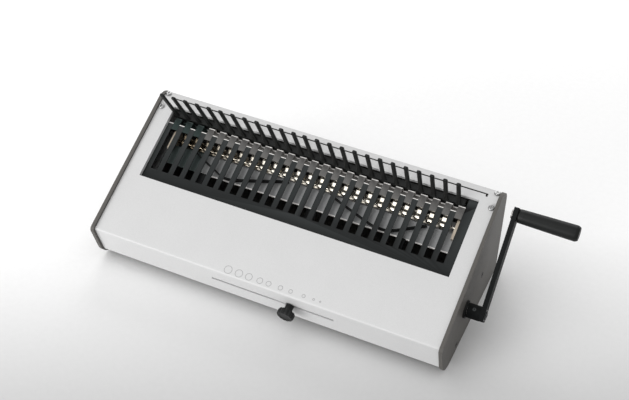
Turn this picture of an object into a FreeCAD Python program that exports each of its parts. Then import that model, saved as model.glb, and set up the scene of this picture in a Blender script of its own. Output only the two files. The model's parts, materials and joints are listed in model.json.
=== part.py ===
import FreeCAD, Part
import math
import os
import Sketcher

# Comb binding machine: a wedge-shaped desk machine.  A crank on the right turns a shaft whose two
# pinions drive a carriage of hooks along the sloping deck, which opens a plastic binding comb.
#
# Three frames are used.  MACHINE is level, with its origin on the front fold of the cover.  SLOPE is
# MACHINE tilted with the deck: x to the right, y up the slope, z out of the deck.  FACE lies on the
# front face: x to the right, y up the face, z out of the face.

Vector = FreeCAD.Vector
Rotation = FreeCAD.Rotation
Placement = FreeCAD.Placement

doc = FreeCAD.newDocument("comb_binding_machine")
sheet = doc.addObject("Spreadsheet::Sheet", "Sizes")

SIZES = {
    # where the front fold's middle lies, seen from the bottom centre of the whole machine
    "fold_x": -43.75,
    "fold_y": -86.0,
    "fold_height": 55.0,
    # housing
    "cover_width": 405.0,
    "sheet": 1.5,
    "slope_angle": 23.2,
    "slope_length": 178.4,
    "face_angle": 15.65,
    "face_length": 42.2,
    "strip_depth": 17.0,
    "back_flange": 20.0,
    "window_width": 368.4,
    "window_front": 76.3,
    "window_back": 168.8,
    "hem_depth": 4.7,
    "bend_radius": 2.5,
    "rear_bend_radius": 13.0,
    "slit_width": 1.8,
    "slit_overhang": 6.6,
    "knob_slit_width": 3.6,
    "knob_slit_left": -59.4,
    "knob_slit_right": 84.3,
    "knob_slit_drop": 19.9,
    "cheek_thickness": 4.0,
    "cheek_lip": 3.0,
    "cheek_top_lip": 2.0,
    "cheek_bottom": 54.0,
    "web_inset": 10.5,
    "web_thickness": 2.0,
    "tray_bottom": 50.0,
    "foot_diameter": 14.0,
    "foot_height": 5.0,
    # deck
    "pitch": 14.2875,
    "slot_count": 25,
    "first_slot": -174.3,
    "slot_width": 8.15,
    "slot_front": 90.6,
    "bar_end": 151.3,
    "plate_depth": 5.0,
    "tab_width": 7.7,
    "tab_front": 143.3,
    "tab_back": 158.8,
    "tine_width": 5.0,
    "tine_front": 160.2,
    "tine_back": 163.4,
    "tine_height": 42.8,
    "tine_arch": 3.3,
    "tine_offset": -4.2,
    "comb_depth": 7.0,
    "comb_overlap": 1.1,
    "left_tines": 12,
    "right_tines": 13,
    # carriage
    "carriage_front": 106.0,
    "carriage_back": 129.0,
    "carriage_depth": 14.0,
    "hook_count": 23,
    "hook_width": 5.0,
    "hook_front": 134.0,
    "hook_back": 146.0,
    "hook_top": 12.0,
    "vee_height": 6.5,
    "rod_radius": 1.6,
    "rack_x": 120.0,
    # drive
    "shaft_y": 69.0,
    "shaft_drop": 7.0,
    "shaft_diameter": 12.0,
    "gear_module": 1.25,
    "gear_teeth": 24,
    "gear_width": 8.0,
    "crank_angle": 43.2,
    "crank_length": 109.3,
    "arm_gap": 17.0,
    "arm_thickness": 5.0,
    "arm_width": 16.0,
    "grip_length": 65.0,
    "grip_diameter": 17.4,
    "axle_diameter": 6.0,
    # size setting
    "knob_x": 34.3,
    "knob_diameter": 19.0,
    "knob_height": 7.0,
}


class Dim:
    """A number that remembers the spreadsheet expression it comes from."""

    def __init__(self, value, text):
        self.value = float(value)
        self.text = text

    def __add__(self, other):
        return Dim(self.value + number(other), f"({self.text} + {words(other)})")

    def __radd__(self, other):
        return Dim(number(other) + self.value, f"({words(other)} + {self.text})")

    def __sub__(self, other):
        return Dim(self.value - number(other), f"({self.text} - {words(other)})")

    def __rsub__(self, other):
        return Dim(number(other) - self.value, f"({words(other)} - {self.text})")

    def __mul__(self, other):
        return Dim(self.value * number(other), f"({self.text} * {words(other)})")

    __rmul__ = __mul__

    def __truediv__(self, other):
        return Dim(self.value / number(other), f"({self.text} / {words(other)})")

    def __neg__(self):
        return Dim(-self.value, f"(-1 * {self.text})")


def number(item):
    return item.value if isinstance(item, Dim) else float(item)


def words(item):
    return item.text if isinstance(item, Dim) else f"({float(item)!r})"


def sine(angle):
    return Dim(math.sin(math.radians(angle.value)), f"sin({angle.text})")


def cosine(angle):
    return Dim(math.cos(math.radians(angle.value)), f"cos({angle.text})")


def tangent(angle):
    return Dim(math.tan(math.radians(angle.value)), f"tan({angle.text})")


def fill_sheet():
    """Write every driving size to its own cell and return them as Dims by name."""
    dims = {}
    for row, (name, value) in enumerate(SIZES.items(), start=1):
        sheet.set(f"A{row}", name)
        sheet.set(f"B{row}", repr(value))
        sheet.setAlias(f"B{row}", name)
        dims[name] = Dim(value, f"Sizes.{name}")
    doc.recompute()
    return dims


D = fill_sheet()
SIN = sine(D["slope_angle"])
COS = cosine(D["slope_angle"])
FACE_SIN = sine(D["face_angle"])
FACE_COS = cosine(D["face_angle"])

X_AXIS = Vector(1, 0, 0)
MACHINE = Placement(
    Vector(D["fold_x"].value, D["fold_y"].value, D["fold_height"].value), Rotation()
)
SLOPE = MACHINE.multiply(Placement(Vector(), Rotation(X_AXIS, D["slope_angle"].value)))
FACE = MACHINE.multiply(Placement(Vector(), Rotation(X_AXIS, 90 + D["face_angle"].value)))

subparts = []


def on_slope(along, out):
    """Level (y, z) of a point given along the slope and out of the deck."""
    return (along * COS - out * SIN, along * SIN + out * COS)


# ---------------------------------------------------------------- building helpers


def new_body(name, frame):
    body = doc.addObject("PartDesign::Body", name)
    body.Label = name
    body.Placement = frame
    subparts.append(body)
    return body


def new_sketch(body, plane, lift=0, turn=None):
    """A sketch on one of the body's own planes, lifted off it or turned about x."""
    sketch = body.newObject("Sketcher::SketchObject", f"{body.Label}_sketch")
    support = next(item for item in body.Origin.OriginFeatures if item.Role == plane)
    sketch.AttachmentSupport = [(support, "")]
    sketch.MapMode = "FlatFace"
    if turn is not None:
        sketch.AttachmentOffset = Placement(Vector(), Rotation(X_AXIS, turn.value))
    elif number(lift) != 0:
        sketch.setExpression("AttachmentOffset.Base.z", words(lift))
    return sketch


def bind_point(sketch, geometry, corner, point):
    """Tie one corner of a sketch line, or a circle's centre, to its two sizes."""
    for kind, size in zip(("DistanceX", "DistanceY"), point):
        index = sketch.addConstraint(
            Sketcher.Constraint(kind, -1, 1, geometry, corner, number(size))
        )
        if isinstance(size, Dim):
            sketch.setExpression(f"Constraints[{index}]", size.text)


def add_outline(sketch, points):
    """Draw a closed outline whose every corner is tied to its sizes."""
    first = sketch.GeometryCount
    count = len(points)
    for index in range(count):
        start = points[index]
        end = points[(index + 1) % count]
        sketch.addGeometry(
            Part.LineSegment(
                Vector(number(start[0]), number(start[1]), 0),
                Vector(number(end[0]), number(end[1]), 0),
            ),
            False,
        )
    for index in range(count):
        following = first + (index + 1) % count
        sketch.addConstraint(
            Sketcher.Constraint("Coincident", first + index, 2, following, 1)
        )
    for index in range(count):
        bind_point(sketch, first + index, 1, points[index])


def add_rectangle(sketch, left, right, low, high):
    add_outline(sketch, [(left, low), (right, low), (right, high), (left, high)])


def add_circle(sketch, centre, radius):
    circle = Part.Circle(
        Vector(number(centre[0]), number(centre[1]), 0), Vector(0, 0, 1), number(radius)
    )
    geometry = sketch.addGeometry(circle, False)
    index = sketch.addConstraint(Sketcher.Constraint("Radius", geometry, number(radius)))
    if isinstance(radius, Dim):
        sketch.setExpression(f"Constraints[{index}]", radius.text)
    bind_point(sketch, geometry, 3, centre)


def extrude(body, kind, sketch, length, backwards=False):
    feature = body.newObject(f"PartDesign::{kind}", f"{body.Label}_{kind.lower()}")
    feature.Profile = sketch
    feature.Length = number(length)
    if isinstance(length, Dim):
        feature.setExpression("Length", length.text)
    feature.Reversed = backwards
    doc.recompute()
    return feature


def pad(body, sketch, length, backwards=False):
    return extrude(body, "Pad", sketch, length, backwards)


def pocket(body, sketch, length, backwards=False):
    """Cut, and make sure that the cut took something away."""
    before = body.Shape.Volume
    feature = extrude(body, "Pocket", sketch, length, backwards)
    if not body.Shape.Volume < before - 1e-3:
        raise RuntimeError(f"{body.Label}: a pocket cut nothing")
    return feature


def repeat(body, feature, sketch, axis, pitch, count):
    """Repeat a pad or a pocket along one axis of its sketch."""
    pattern = body.newObject("PartDesign::LinearPattern", f"{body.Label}_row")
    pattern.Originals = [feature]
    pattern.Direction = (sketch, [axis])
    pattern.Mode = "Spacing"
    pattern.Offset = number(pitch)
    pattern.setExpression("Offset", words(pitch))
    pattern.Occurrences = int(number(count))
    if isinstance(count, Dim):
        pattern.setExpression("Occurrences", count.text)
    body.Tip = pattern
    doc.recompute()
    return pattern


def dress(body, kind, feature, chosen, size, name="Radius"):
    """Round or bevel the edges of a feature for which chosen(edge) is true."""
    names = [
        f"Edge{index}"
        for index, edge in enumerate(feature.Shape.Edges, start=1)
        if chosen(edge)
    ]
    if not names:
        raise RuntimeError(f"{body.Label}: no edge to dress")
    dressing = body.newObject(f"PartDesign::{kind}", f"{body.Label}_{kind.lower()}")
    dressing.Base = (feature, names)
    setattr(dressing, name, number(size))
    if isinstance(size, Dim):
        dressing.setExpression(name, size.text)
    doc.recompute()
    return dressing


def runs_along(edge, axis):
    if edge.Curve.TypeId != "Part::GeomLine":
        return False
    return abs(edge.Curve.Direction.dot(axis)) > 0.999


def x_edge_at(*corners):
    """Pick the straight edges along x that stand at the given (y, z) corners."""
    places = [(number(y), number(z)) for y, z in corners]

    def chosen(edge):
        if not runs_along(edge, X_AXIS):
            return False
        middle = edge.CenterOfMass
        return any(math.hypot(middle.y - y, middle.z - z) < 0.05 for y, z in places)

    return chosen


def slab(name, frame, plane, outline, start, thickness):
    """A flat piece: one outline on a plane of its own body, padded."""
    body = new_body(name, frame)
    sketch = new_sketch(body, plane, lift=start)
    add_outline(sketch, outline)
    pad(body, sketch, thickness)
    return body


def holes(body, plane, centres, radius, start, depth):
    """Round holes that run towards the plane's positive normal from start."""
    sketch = new_sketch(body, plane, lift=start)
    for centre in centres:
        add_circle(sketch, centre, radius)
    return pocket(body, sketch, depth, backwards=True)


def group(name, shapes, frame):
    """Several identical loose solids that share one node."""
    item = doc.addObject("Part::Feature", name)
    item.Label = name
    item.Shape = Part.makeCompound(shapes)
    item.Placement = frame
    subparts.append(item)
    return item


def screw(head_radius, head_height, shank_radius, shank_length):
    """A pan-head screw, its seat at the origin, its head towards +z, with a cross recess."""
    head = Part.makeCylinder(head_radius, head_height, Vector(), Vector(0, 0, 1))
    rim = [edge for edge in head.Edges if abs(edge.CenterOfMass.z - head_height) < 1e-6]
    head = head.makeFillet(0.45 * head_height, rim[:1])
    blade = head_radius * 0.3
    for length, width in ((head_radius * 1.2, blade), (blade, head_radius * 1.2)):
        recess = Part.makeBox(
            length, width, head_height, Vector(-length / 2, -width / 2, head_height * 0.55)
        )
        head = head.cut(recess)
    shank = Part.makeCylinder(shank_radius, shank_length, Vector(0, 0, -shank_length))
    return head.fuse(shank).removeSplitter()


def placed(shape, position, turn=None):
    copy = shape.copy()
    copy.Placement = Placement(position, turn or Rotation())
    return copy


RIGHTWARDS = Rotation(Vector(0, 0, 1), X_AXIS)
LEFTWARDS = Rotation(Vector(0, 0, 1), Vector(-1, 0, 0))
UPWARDS = Rotation()
DOWNWARDS = Rotation(X_AXIS, 180)

# ---------------------------------------------------------------- shared places

CLEAR = 0.1
T = D["sheet"]
HALF = D["cover_width"] / 2
INSIDE = HALF - CLEAR
RIDGE_Y = D["slope_length"] * COS
RIDGE_Z = D["slope_length"] * SIN
BACK_Y = RIDGE_Y + D["strip_depth"]
FOLD_TAN = tangent((D["face_angle"] - D["slope_angle"] + 90) / 2)
RIDGE_TAN = tangent(D["slope_angle"] / 2)
WEB_OUT = HALF - D["web_inset"]
WEB_IN = WEB_OUT - D["web_thickness"]
TRAY_TOP = T - D["tray_bottom"]
WALL_Y = BACK_Y - T - T - CLEAR
SHAFT = (D["shaft_y"], -D["shaft_drop"])
SHAFT_S = D["shaft_y"] * COS - D["shaft_drop"] * SIN
SHAFT_N = -D["shaft_drop"] * COS - D["shaft_y"] * SIN
CHEEK_OUT = HALF + D["cheek_thickness"]

SIDES = {"left": -1, "right": 1}

# Cover screws: two on the slope near the ridge, two on the level strip behind it.
COVER_SCREW_X = HALF - 3.5
COVER_SCREW_S = 164.0
COVER_SCREW_Y = RIDGE_Y + 4.5
SCREW_RADIUS = 1.5
SCREW_HOLE = SCREW_RADIUS + 0.05
CHEEK_SCREW_LOW = (50.0, -44.0)
CHEEK_SCREW_HIGH = (122.0, -6.0)
COUNTERBORE_RADIUS = 3.4
COUNTERBORE_DEPTH = 2.0
FOOT_X = 194.5
FOOT_YS = (40.0, 165.0)


def start_of(side, inner, outer):
    """Where a slab that lies between two distances from the middle starts, on either side."""
    return inner if side > 0 else -outer


# ---------------------------------------------------------------- housing


def make_top_cover():
    body = new_body("top_cover", MACHINE)
    length = D["face_length"]
    fold_inside = on_slope(T * FOLD_TAN, -T)
    ridge_inside = (RIDGE_Y + T * RIDGE_TAN, RIDGE_Z - T)
    corner_inside = (BACK_Y - T, RIDGE_Z - T)
    outline = [
        (length * FACE_SIN, -(length * FACE_COS)),
        (0, 0),
        (RIDGE_Y, RIDGE_Z),
        (BACK_Y, RIDGE_Z),
        (BACK_Y, RIDGE_Z - D["back_flange"]),
        (BACK_Y - T, RIDGE_Z - D["back_flange"]),
        corner_inside,
        ridge_inside,
        fold_inside,
        (length * FACE_SIN + T * FACE_COS, T * FACE_SIN - length * FACE_COS),
    ]
    sketch = new_sketch(body, "YZ_Plane", lift=-INSIDE)
    add_outline(sketch, outline)
    shell = pad(body, sketch, INSIDE * 2)
    bend = D["bend_radius"]
    rear_bend = D["rear_bend_radius"]
    bends = (
        (((0, 0), (RIDGE_Y, RIDGE_Z)), bend),
        ((fold_inside, ridge_inside), bend - T),
        (((BACK_Y, RIDGE_Z),), rear_bend),
        ((corner_inside,), rear_bend - T),
    )
    for corners, radius in bends:
        shell = dress(body, "Fillet", shell, x_edge_at(*corners), radius)

    reach = D["window_width"] / 2
    hem = new_sketch(body, "XY_Plane", turn=D["slope_angle"])
    add_rectangle(hem, -reach - T, reach + T, D["window_front"] - T, D["window_back"] + T)
    pad(body, hem, D["hem_depth"], backwards=True)
    window = new_sketch(body, "XY_Plane", turn=D["slope_angle"])
    add_rectangle(window, -reach, reach, D["window_front"], D["window_back"])
    pocket(body, window, D["hem_depth"] + 1)

    slit_end = reach + D["slit_overhang"]
    slit_low = D["slope_length"] - D["slit_width"] / 2
    slit = new_sketch(body, "XY_Plane", turn=D["slope_angle"])
    notch = 2.4
    add_outline(
        slit,
        [
            (-slit_end, slit_low),
            (slit_end - notch, slit_low),
            (slit_end - notch, slit_low - notch),
            (slit_end, slit_low - notch),
            (slit_end, slit_low + D["slit_width"]),
            (-slit_end, slit_low + D["slit_width"]),
        ],
    )
    pocket(body, slit, T * 2)

    half_slit = D["knob_slit_width"] / 2
    knob_slit = new_sketch(body, "XY_Plane", turn=D["face_angle"] + 90)
    add_rectangle(
        knob_slit,
        D["knob_slit_left"],
        D["knob_slit_right"],
        -D["knob_slit_drop"] - half_slit,
        half_slit - D["knob_slit_drop"],
    )
    pocket(body, knob_slit, T * 2)

    slope_holes = new_sketch(body, "XY_Plane", turn=D["slope_angle"])
    strip_holes = new_sketch(body, "XY_Plane", lift=RIDGE_Z)
    for side in SIDES.values():
        add_circle(slope_holes, (COVER_SCREW_X * side, COVER_SCREW_S), SCREW_HOLE)
        add_circle(strip_holes, (COVER_SCREW_X * side, COVER_SCREW_Y), SCREW_HOLE)
    pocket(body, slope_holes, T * 2)
    pocket(body, strip_holes, T * 2)


def make_cheek(name, side):
    """A flat end plate that stands a lip proud of the cover all round."""
    body = new_body(f"{name}_cheek", MACHINE)
    lip = D["cheek_lip"]
    bottom = D["cheek_bottom"]
    nose = on_slope(-(lip * FOLD_TAN), lip)
    top = RIDGE_Z + D["cheek_top_lip"]
    ridge = ((top * COS - lip) / SIN, top)
    front_bottom = (
        (bottom - lip * FACE_SIN) * FACE_SIN / FACE_COS - lip * FACE_COS,
        -bottom,
    )
    back_top = (BACK_Y + lip, top)
    back_bottom = (BACK_Y + lip, -bottom)
    sketch = new_sketch(body, "YZ_Plane", lift=start_of(side, HALF, CHEEK_OUT))
    add_outline(sketch, [front_bottom, nose, ridge, back_top, back_bottom])
    plate = pad(body, sketch, D["cheek_thickness"])
    rounds = (
        ([front_bottom], 28.0),
        ([nose], 5.5),
        ([ridge], 10.0),
        ([back_top], 20.5),
        ([back_bottom], 3.0),
    )
    for corners, radius in rounds:
        plate = dress(body, "Fillet", plate, x_edge_at(*corners), radius)
    screws = [CHEEK_SCREW_LOW, CHEEK_SCREW_HIGH]
    start = start_of(side, HALF, CHEEK_OUT)
    holes(body, "YZ_Plane", screws, SCREW_HOLE, start, D["cheek_thickness"])
    bore_start = start_of(side, CHEEK_OUT - COUNTERBORE_DEPTH, CHEEK_OUT)
    holes(body, "YZ_Plane", screws, COUNTERBORE_RADIUS, bore_start, COUNTERBORE_DEPTH)
    if side > 0:
        holes(body, "YZ_Plane", [SHAFT], BUSH_HOLE, start, D["cheek_thickness"])


def make_base_tray():
    body = new_body("base_tray", MACHINE)
    bottom = -D["tray_bottom"]
    front = 23.0
    front_top = -37.0
    wall_top = RIDGE_Z - D["back_flange"] + 6
    sketch = new_sketch(body, "YZ_Plane", lift=-INSIDE)
    add_outline(
        sketch,
        [
            (front, front_top),
            (front, bottom),
            (WALL_Y + T, bottom),
            (WALL_Y + T, wall_top),
            (WALL_Y, wall_top),
            (WALL_Y, bottom + T),
            (T + front, bottom + T),
            (T + front, front_top),
        ],
    )
    pad(body, sketch, INSIDE * 2)
    flange = (30.0, 170.0, 12.0)
    for side in SIDES.values():
        start = start_of(side, INSIDE - T, INSIDE)
        end = new_sketch(body, "YZ_Plane", lift=start)
        add_rectangle(end, flange[0], flange[1], bottom, bottom + flange[2])
        pad(body, end, T)
        holes(body, "YZ_Plane", [CHEEK_SCREW_LOW], SCREW_HOLE, start, T)
    feet = [(FOOT_X * side, y) for side in SIDES.values() for y in FOOT_YS]
    holes(body, "XY_Plane", feet, SCREW_HOLE, bottom, T)


def make_inner_frame(name, side):
    """A bent plate behind each cheek that carries the shaft, the deck and the cover."""
    body = new_body(f"{name}_inner_frame", MACHINE)
    flange = 2.0
    under = T + CLEAR
    front = 26.0
    back = WALL_Y - CLEAR
    strip_top = RIDGE_Z - T - 0.7
    strip_end = RIDGE_Y + 7.6
    web = new_sketch(body, "YZ_Plane", lift=start_of(side, WEB_IN, WEB_OUT))
    add_outline(
        web,
        [
            (front, TRAY_TOP),
            (front, (front * SIN - under) / COS),
            on_slope(172.0, -under),
            (RIDGE_Y + 1, strip_top),
            (strip_end, strip_top),
            (back, strip_top - 7.0),
            (back, TRAY_TOP),
        ],
    )
    pad(body, web, D["web_thickness"])
    reach = HALF - CLEAR * 2
    start = start_of(side, WEB_IN, reach)
    slope_flange = new_sketch(body, "YZ_Plane", lift=start)
    add_outline(
        slope_flange,
        [
            on_slope(30.0, -under),
            on_slope(172.0, -under),
            on_slope(172.0, -under - flange),
            on_slope(30.0, -under - flange),
        ],
    )
    pad(body, slope_flange, reach - WEB_IN)
    strip_flange = new_sketch(body, "YZ_Plane", lift=start)
    add_rectangle(strip_flange, RIDGE_Y + 1, strip_end, strip_top - flange, strip_top)
    pad(body, strip_flange, reach - WEB_IN)
    tray_flange = new_sketch(body, "YZ_Plane", lift=start_of(side, WEB_IN, INSIDE - T - CLEAR))
    add_rectangle(tray_flange, 28.0, 172.0, TRAY_TOP, TRAY_TOP + flange)
    pad(body, tray_flange, INSIDE - T - CLEAR - WEB_IN)

    slope_hole = new_sketch(body, "XY_Plane", turn=D["slope_angle"])
    add_circle(slope_hole, (COVER_SCREW_X * side, COVER_SCREW_S), SCREW_HOLE)
    pocket(body, slope_hole, under + flange + 1)
    strip_hole = new_sketch(body, "XY_Plane", lift=RIDGE_Z)
    add_circle(strip_hole, (COVER_SCREW_X * side, COVER_SCREW_Y), SCREW_HOLE)
    pocket(body, strip_hole, under + flange + 1)
    feet = [(FOOT_X * side, y) for y in FOOT_YS]
    holes(body, "XY_Plane", feet, SCREW_HOLE, TRAY_TOP, flange)
    web_start = start_of(side, WEB_IN, WEB_OUT)
    holes(body, "YZ_Plane", [SHAFT], BUSH_HOLE, web_start, D["web_thickness"])
    small = [CHEEK_SCREW_HIGH]
    small += [on_slope(*place) for place in PLATE_SCREWS + RAIL_SCREWS + GUIDE_RIVETS]
    holes(body, "YZ_Plane", small, SCREW_HOLE, web_start, D["web_thickness"])


def make_housing_fasteners():
    seat = 0.02
    cover = []
    high = COVER_SCREW_X.value
    pan = screw(3.3, 2.2, SCREW_RADIUS, 8.0)
    slope_turn = Rotation(X_AXIS, D["slope_angle"].value)
    along = COVER_SCREW_S
    slope_seat = Vector(0, *[number(v) for v in on_slope(Dim(along, str(along)), seat)])
    strip_seat = Vector(0, COVER_SCREW_Y.value, RIDGE_Z.value + seat)
    for side in SIDES.values():
        aside = Vector(high * side, 0, 0)
        cover.append(placed(pan, aside + slope_seat, slope_turn))
        cover.append(placed(pan, aside + strip_seat))
    group("cover_screws", cover, MACHINE)

    cheek = []
    spacers = []
    seat_x = CHEEK_OUT.value - COUNTERBORE_DEPTH + seat
    short = screw(3.0, 1.7, SCREW_RADIUS, 5.5)
    long = screw(3.0, 1.7, SCREW_RADIUS, 16.0)
    tube_length = D["web_inset"].value - 2 * seat
    for side in SIDES.values():
        turn = RIGHTWARDS if side > 0 else LEFTWARDS
        cheek.append(placed(short, Vector(seat_x * side, *CHEEK_SCREW_LOW), turn))
        cheek.append(placed(long, Vector(seat_x * side, *CHEEK_SCREW_HIGH), turn))
        foot = Vector((WEB_OUT.value + seat) * side, *CHEEK_SCREW_HIGH)
        away = Vector(side, 0, 0)
        tube = Part.makeCylinder(4.0, tube_length, foot, away)
        spacers.append(tube.cut(Part.makeCylinder(SCREW_HOLE, tube_length, foot, away)))
    group("cheek_screws", cheek, MACHINE)
    group("cheek_spacers", spacers, MACHINE)


def make_feet():
    radius = D["foot_diameter"] / 2
    bottom = -D["tray_bottom"] - D["foot_height"]
    fixings = []
    foot_screw = screw(3.0, 1.8, SCREW_RADIUS, 8.0)
    recess = 3.0
    for end, y in zip(("front", "rear"), FOOT_YS):
        for name, side in SIDES.items():
            body = new_body(f"{end}_{name}_foot", MACHINE)
            sketch = new_sketch(body, "XY_Plane", lift=bottom)
            add_circle(sketch, (FOOT_X * side, y), radius)
            puck = pad(body, sketch, D["foot_height"])
            rim = number(bottom)

            def lowest(edge):
                return abs(edge.CenterOfMass.z - rim) < 1e-3

            dress(body, "Chamfer", puck, lowest, 1.0, "Size")
            holes(body, "XY_Plane", [(FOOT_X * side, y)], SCREW_HOLE, bottom, D["foot_height"])
            holes(body, "XY_Plane", [(FOOT_X * side, y)], COUNTERBORE_RADIUS, bottom, recess)
            seat = Vector(FOOT_X * side, y, rim + recess - 0.02)
            fixings.append(placed(foot_screw, seat, DOWNWARDS))
    group("foot_screws", fixings, MACHINE)


# ---------------------------------------------------------------- deck

PLATE_SCREWS = [(84.0, -11.0), (140.0, -11.0)]
RAIL_SCREWS = [(153.0, -28.0), (162.0, -28.0)]
GUIDE_RIVETS = [(100.0, -22.5), (138.0, -22.5)]
BUSH_RADIUS = 8.0
BUSH_HOLE = BUSH_RADIUS + 0.03
DECK_WIDE = WEB_IN - 0.2
RAIL_TOP = -20.0
SLOT_STEP = D["pitch"]


def make_slot_plate():
    """The black deck plate: a comb of bars, its slots open at the back."""
    body = new_body("slot_plate", SLOPE)
    top = new_sketch(body, "XY_Plane", lift=-D["plate_depth"])
    last_edge = D["first_slot"] + SLOT_STEP * (D["slot_count"] - 1) + D["slot_width"] / 2 + 0.2
    margin_back = D["window_back"] - 0.8
    front = D["window_front"] - 4
    add_outline(
        top,
        [
            (-DECK_WIDE, front),
            (DECK_WIDE, front),
            (DECK_WIDE, margin_back),
            (last_edge, margin_back),
            (last_edge, D["bar_end"]),
            (-DECK_WIDE, D["bar_end"]),
        ],
    )
    pad(body, top, T, backwards=True)
    flange_drop = 12.0
    for side in SIDES.values():
        start = start_of(side, DECK_WIDE - T, DECK_WIDE)
        flange = new_sketch(body, "YZ_Plane", lift=start)
        low = -D["plate_depth"] - flange_drop
        add_rectangle(flange, front, D["bar_end"], low, -D["plate_depth"])
        pad(body, flange, T)
        holes(body, "YZ_Plane", PLATE_SCREWS, SCREW_HOLE, start, T)
    slot = new_sketch(body, "XY_Plane", lift=-D["plate_depth"])
    half = D["slot_width"] / 2
    first = D["first_slot"]
    add_rectangle(slot, first - half, first + half, D["slot_front"], D["bar_end"] + 2)
    cut = pocket(body, slot, T + 1)
    row = repeat(body, cut, slot, "H_Axis", SLOT_STEP, D["slot_count"])
    dress(body, "Fillet", row, x_edge_at((D["bar_end"], -D["plate_depth"])), 0.8)


def make_finger_strip():
    """A steel angle whose upstand is cut into tabs that reach forward between the bars."""
    body = new_body("finger_strip", SLOPE)
    back = D["tab_back"]
    left = D["first_slot"] - 6.5
    length = SLOT_STEP * (D["slot_count"] - 1) + 9.5
    upstand_top = -12.0
    angle = new_sketch(body, "YZ_Plane", lift=left)
    add_outline(
        angle,
        [
            (back - 9, RAIL_TOP),
            (back, RAIL_TOP),
            (back, upstand_top),
            (back - T, upstand_top),
            (back - T, RAIL_TOP + T),
            (back - 9, RAIL_TOP + T),
        ],
    )
    pad(body, angle, length)
    level = -D["plate_depth"] - 0.2
    bend = 1.0
    tab = new_sketch(body, "YZ_Plane", lift=D["first_slot"] - D["tab_width"] / 2)
    add_outline(
        tab,
        [
            (back, upstand_top - 1),
            (back, level - bend),
            (back - bend * 0.3, level - bend * 0.3),
            (back - bend, level),
            (D["tab_front"], level),
            (D["tab_front"], level - T),
            (back - T, level - T),
            (back - T, upstand_top - 1),
        ],
    )
    first = pad(body, tab, D["tab_width"])
    repeat(body, first, tab, "N_Axis", SLOT_STEP, D["slot_count"])


def make_comb_rail():
    """The rear rail that carries the tab strip and both combs from frame to frame."""
    body = new_body("rear_comb_rail", SLOPE)
    front = D["tab_back"] - 9.5
    back = D["tine_front"] + D["comb_depth"]
    thick = 2.0
    shelf = new_sketch(body, "YZ_Plane", lift=-DECK_WIDE)
    add_rectangle(shelf, front, back, RAIL_TOP - thick, RAIL_TOP)
    pad(body, shelf, DECK_WIDE * 2)
    for side in SIDES.values():
        start = start_of(side, DECK_WIDE - thick, DECK_WIDE)
        ear = new_sketch(body, "YZ_Plane", lift=start)
        add_rectangle(ear, front, back, RAIL_TOP - 13, RAIL_TOP)
        pad(body, ear, thick)
        holes(body, "YZ_Plane", RAIL_SCREWS, SCREW_HOLE, start, thick)
    places = [(x, COMB_SCREW_S) for x in COMB_SCREW_X]
    holes(body, "XY_Plane", places, SCREW_HOLE, RAIL_TOP - thick, thick)


COMB_SCREW_S = D["tine_front"] + D["comb_depth"] / 2
COMB_SCREW_X = (-170.0, -95.0, -30.0, 15.0, 85.0, 152.0)
TALLEST_TINE = 14.45
HALF_OF_TINES = 12


def make_rear_comb(name, first_tine, count, shift, ends, lean):
    """A black moulding: a low wall with tall tines whose tips fan out and lie on a shallow arch.

    lean holds how far the tips of its first and last tine stand to the right of their feet.
    """
    body = new_body(f"rear_comb_{name}", SLOPE)
    wall = new_sketch(body, "YZ_Plane", lift=ends[0])
    front = D["tine_front"]
    wall_top = -D["plate_depth"] - 0.1
    add_rectangle(wall, front, front + D["comb_depth"], RAIL_TOP, wall_top)
    pad(body, wall, ends[1] - ends[0])
    half = D["tine_width"] / 2
    foot = wall_top - 1
    bevel = 1.1
    flare = 0.25
    tines = new_sketch(body, "XZ_Plane", lift=-front)
    for index in range(count):
        place = first_tine + index
        centre = D["first_slot"] + D["tine_offset"] + SLOT_STEP * place - shift
        tip = centre + lean[0] + (lean[1] - lean[0]) * index / (count - 1)
        drop = ((place - TALLEST_TINE) / HALF_OF_TINES) ** 2
        top = D["tine_height"] - D["tine_arch"] * drop
        add_outline(
            tines,
            [
                (centre - half - flare, foot),
                (centre + half + flare, foot),
                (tip + half, top - bevel * 1.5),
                (tip + half - bevel, top),
                (tip - half + bevel, top),
                (tip - half, top - bevel * 1.5),
            ],
        )
    pad(body, tines, D["tine_back"] - front, backwards=True)
    screws = [(x, COMB_SCREW_S) for x in COMB_SCREW_X if number(ends[0]) < x < number(ends[1])]
    holes(body, "XY_Plane", screws, SCREW_HOLE, RAIL_TOP, 8.5)


def make_rear_combs():
    split = D["first_slot"] + D["tine_offset"] + SLOT_STEP * (D["left_tines"] - 0.5)
    left_end = D["first_slot"] + D["tine_offset"] - 3.5
    right_end = left_end + SLOT_STEP * D["slot_count"] - 5
    left_count = int(D["left_tines"].value)
    right_count = int(D["right_tines"].value)
    left_ends = (left_end, split - CLEAR)
    right_ends = (split + CLEAR, right_end)
    make_rear_comb("left", 0, left_count, 0, left_ends, (-8.0, -1.1))
    make_rear_comb("right", left_count, right_count, D["comb_overlap"], right_ends, (-1.1, 2.4))


def make_guide(name, side):
    """A channel on each frame in which the carriage's shoe slides."""
    body = new_body(f"{name}_guide", SLOPE)
    inner = DECK_WIDE - 11.8
    low, high = -26.0, -19.0
    lip = 1.7
    front, length = 92.0, 54.0
    sketch = new_sketch(body, "XZ_Plane", lift=-front)
    wall = DECK_WIDE - T
    add_outline(
        sketch,
        [
            (inner * side, low),
            (DECK_WIDE * side, low),
            (DECK_WIDE * side, high),
            (inner * side, high),
            (inner * side, high - lip),
            (wall * side, high - lip),
            (wall * side, low + lip),
            (inner * side, low + lip),
        ],
    )
    pad(body, sketch, length, backwards=True)
    start = start_of(side, wall, DECK_WIDE)
    holes(body, "YZ_Plane", GUIDE_RIVETS, RIVET_HOLE, start, T)


RIVET_RADIUS = 1.2
RIVET_HOLE = RIVET_RADIUS + 0.05


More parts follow.
